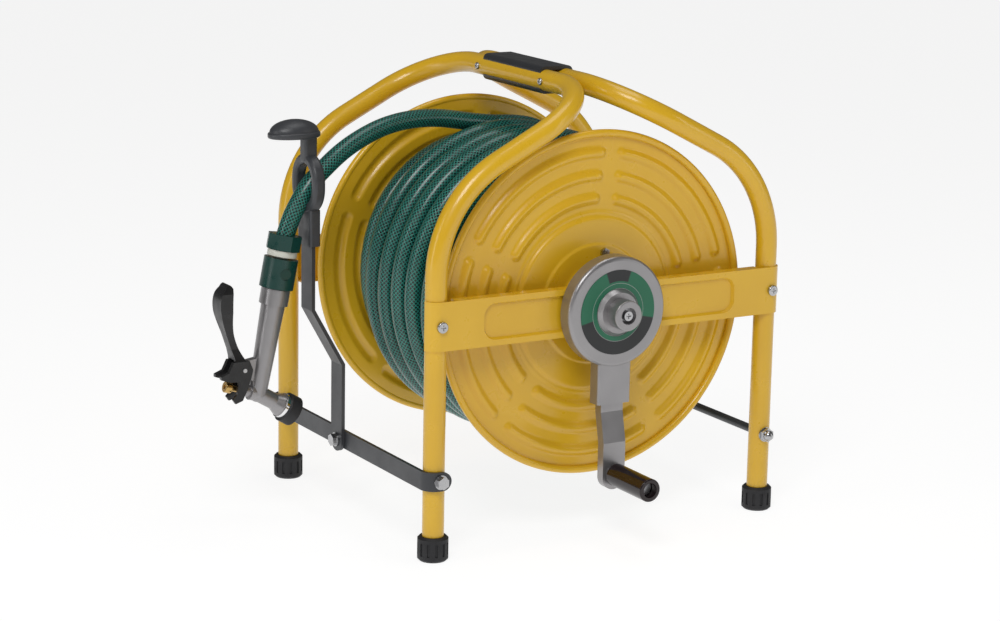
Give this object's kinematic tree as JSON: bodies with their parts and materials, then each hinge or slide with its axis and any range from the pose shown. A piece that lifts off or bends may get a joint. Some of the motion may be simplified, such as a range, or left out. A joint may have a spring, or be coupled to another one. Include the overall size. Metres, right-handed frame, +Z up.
{
  "type": "garden hose reel",
  "caption": "Free-standing garden hose reel: bent tube frame, hand-cranked sheet-metal drum wound with braided hose, and a hose guide arm with a spray nozzle.",
  "frame": {"origin": "on the floor, in the middle of the four feet", "axes": "+X along the crank side, from the hose guide to the tie rod; +Y along the drum axis, from the crank to the water inlet; +Z up"},
  "size_m": [0.6498, 0.5612, 0.5433],
  "materials": {
    "yellow_steel": "gloss powder coat",
    "grey_steel": "satin powder coat",
    "zinc": "zinc plated",
    "chrome": "bright",
    "die_cast": "satin",
    "brass": "turned",
    "rubber": "matt",
    "grey_plastic": "fine texture",
    "black_plastic": "glossy",
    "green_plastic": "satin",
    "white_plastic": "satin",
    "green_hose": "braided soft PVC",
    "label": "printed film"
  },
  "bodies": {
    "frame": {"frame_tube_left": "yellow_steel", "frame_tube_right": "yellow_steel", "foot_front_left": "rubber", "foot_front_right": "rubber", "foot_rear_left": "rubber", "foot_rear_right": "rubber", "front_plate": "yellow_steel", "rear_plate": "yellow_steel", "side_bar": "grey_steel", "tie_rod": "grey_steel", "grip_upper_shell": "grey_plastic", "grip_lower_shell": "grey_plastic", "grip_screws": "zinc", "plate_screws": "zinc", "side_bar_bolts": "zinc", "tie_rod_nuts": "zinc", "mast_bolt": "zinc", "front_bearing": "grey_plastic", "rear_bearing": "grey_plastic", "front_bearing_screws": "zinc", "rear_bearing_screws": "zinc", "water_inlet": "brass", "swivel_seal": "rubber", "hose_outer_turns": "green_hose", "hose_tail_span": "green_hose"},
    "drum": {"flange_front": "yellow_steel", "flange_rear": "yellow_steel", "drum_core": "grey_steel", "hub_front": "zinc", "hub_rear": "zinc", "hub_bolts_front": "zinc", "hub_bolts_rear": "zinc", "drive_shaft": "zinc", "water_spindle": "brass", "water_pipe": "zinc", "hose_wound": "green_hose", "crank_case": "die_cast", "crank_label": "label", "crank_screw": "zinc", "crank_arm": "die_cast", "crank_pin": "zinc"},
    "crank_grip": {"crank_grip": "black_plastic"},
    "hose_guide": {"guide_mast": "grey_steel", "guide_eye": "grey_plastic", "guide_knob": "grey_plastic", "hose_tail_end": "green_hose", "connector_nut": "green_plastic", "connector_stem": "white_plastic", "nozzle_adaptor": "die_cast", "nozzle_body": "die_cast", "spray_cone": "chrome", "spray_ring": "rubber", "lever_pin": "zinc"},
    "release_sleeve": {"connector_sleeve": "green_plastic", "release_button": "black_plastic"},
    "lever": {"nozzle_lever": "black_plastic"},
    "stem": {"valve_stem": "brass"},
    "knob": {"flow_knob": "brass"}
  },
  "joints": [
    {"name": "drum_spin", "type": "hinge", "parent": "frame", "child": "drum", "pos_m": [-0.006, 0, 0.277], "axis": [0, 1, 0], "continuous": true},
    {"name": "grip_spin", "type": "hinge", "parent": "drum", "child": "crank_grip", "pos_m": [-0.006, -0.27, 0.083], "axis": [0, 1, 0], "continuous": true},
    {"name": "guide_swing", "type": "hinge", "parent": "frame", "child": "hose_guide", "pos_m": [-0.24675, 0.013, 0.095], "axis": [1, 0, 0], "range_deg": [-22, 22], "deforming": ["hose_tail_span"]},
    {"name": "sleeve_release", "type": "slide", "parent": "hose_guide", "child": "release_sleeve", "axis": [0.1908, 0, 0.9816], "range_m": [0, 0.002], "stiffness_N_per_m": 900, "springref_m": -0.002},
    {"name": "lever_squeeze", "type": "hinge", "parent": "hose_guide", "child": "lever", "pos_m": [-0.3742, 0.013, 0.1961], "axis": [0, 1, 0], "range_deg": [0, 12], "stiffness_Nm_per_rad": 1.2, "springref_deg": -20.05},
    {"name": "valve_slide", "type": "slide", "parent": "hose_guide", "child": "stem", "axis": [-0.9613, 0, 0.2756], "range_m": [0, 0.006]},
    {"name": "flow_knob_turn", "type": "hinge", "parent": "stem", "child": "knob", "pos_m": [-0.39145, 0.013, 0.17553], "axis": [-0.9613, 0, 0.2756], "range_deg": [0, 360]}
  ],
  "couplings": [
    {"joint": "valve_slide", "follows": "lever_squeeze", "m_per_rad": 0.024}
  ]
}
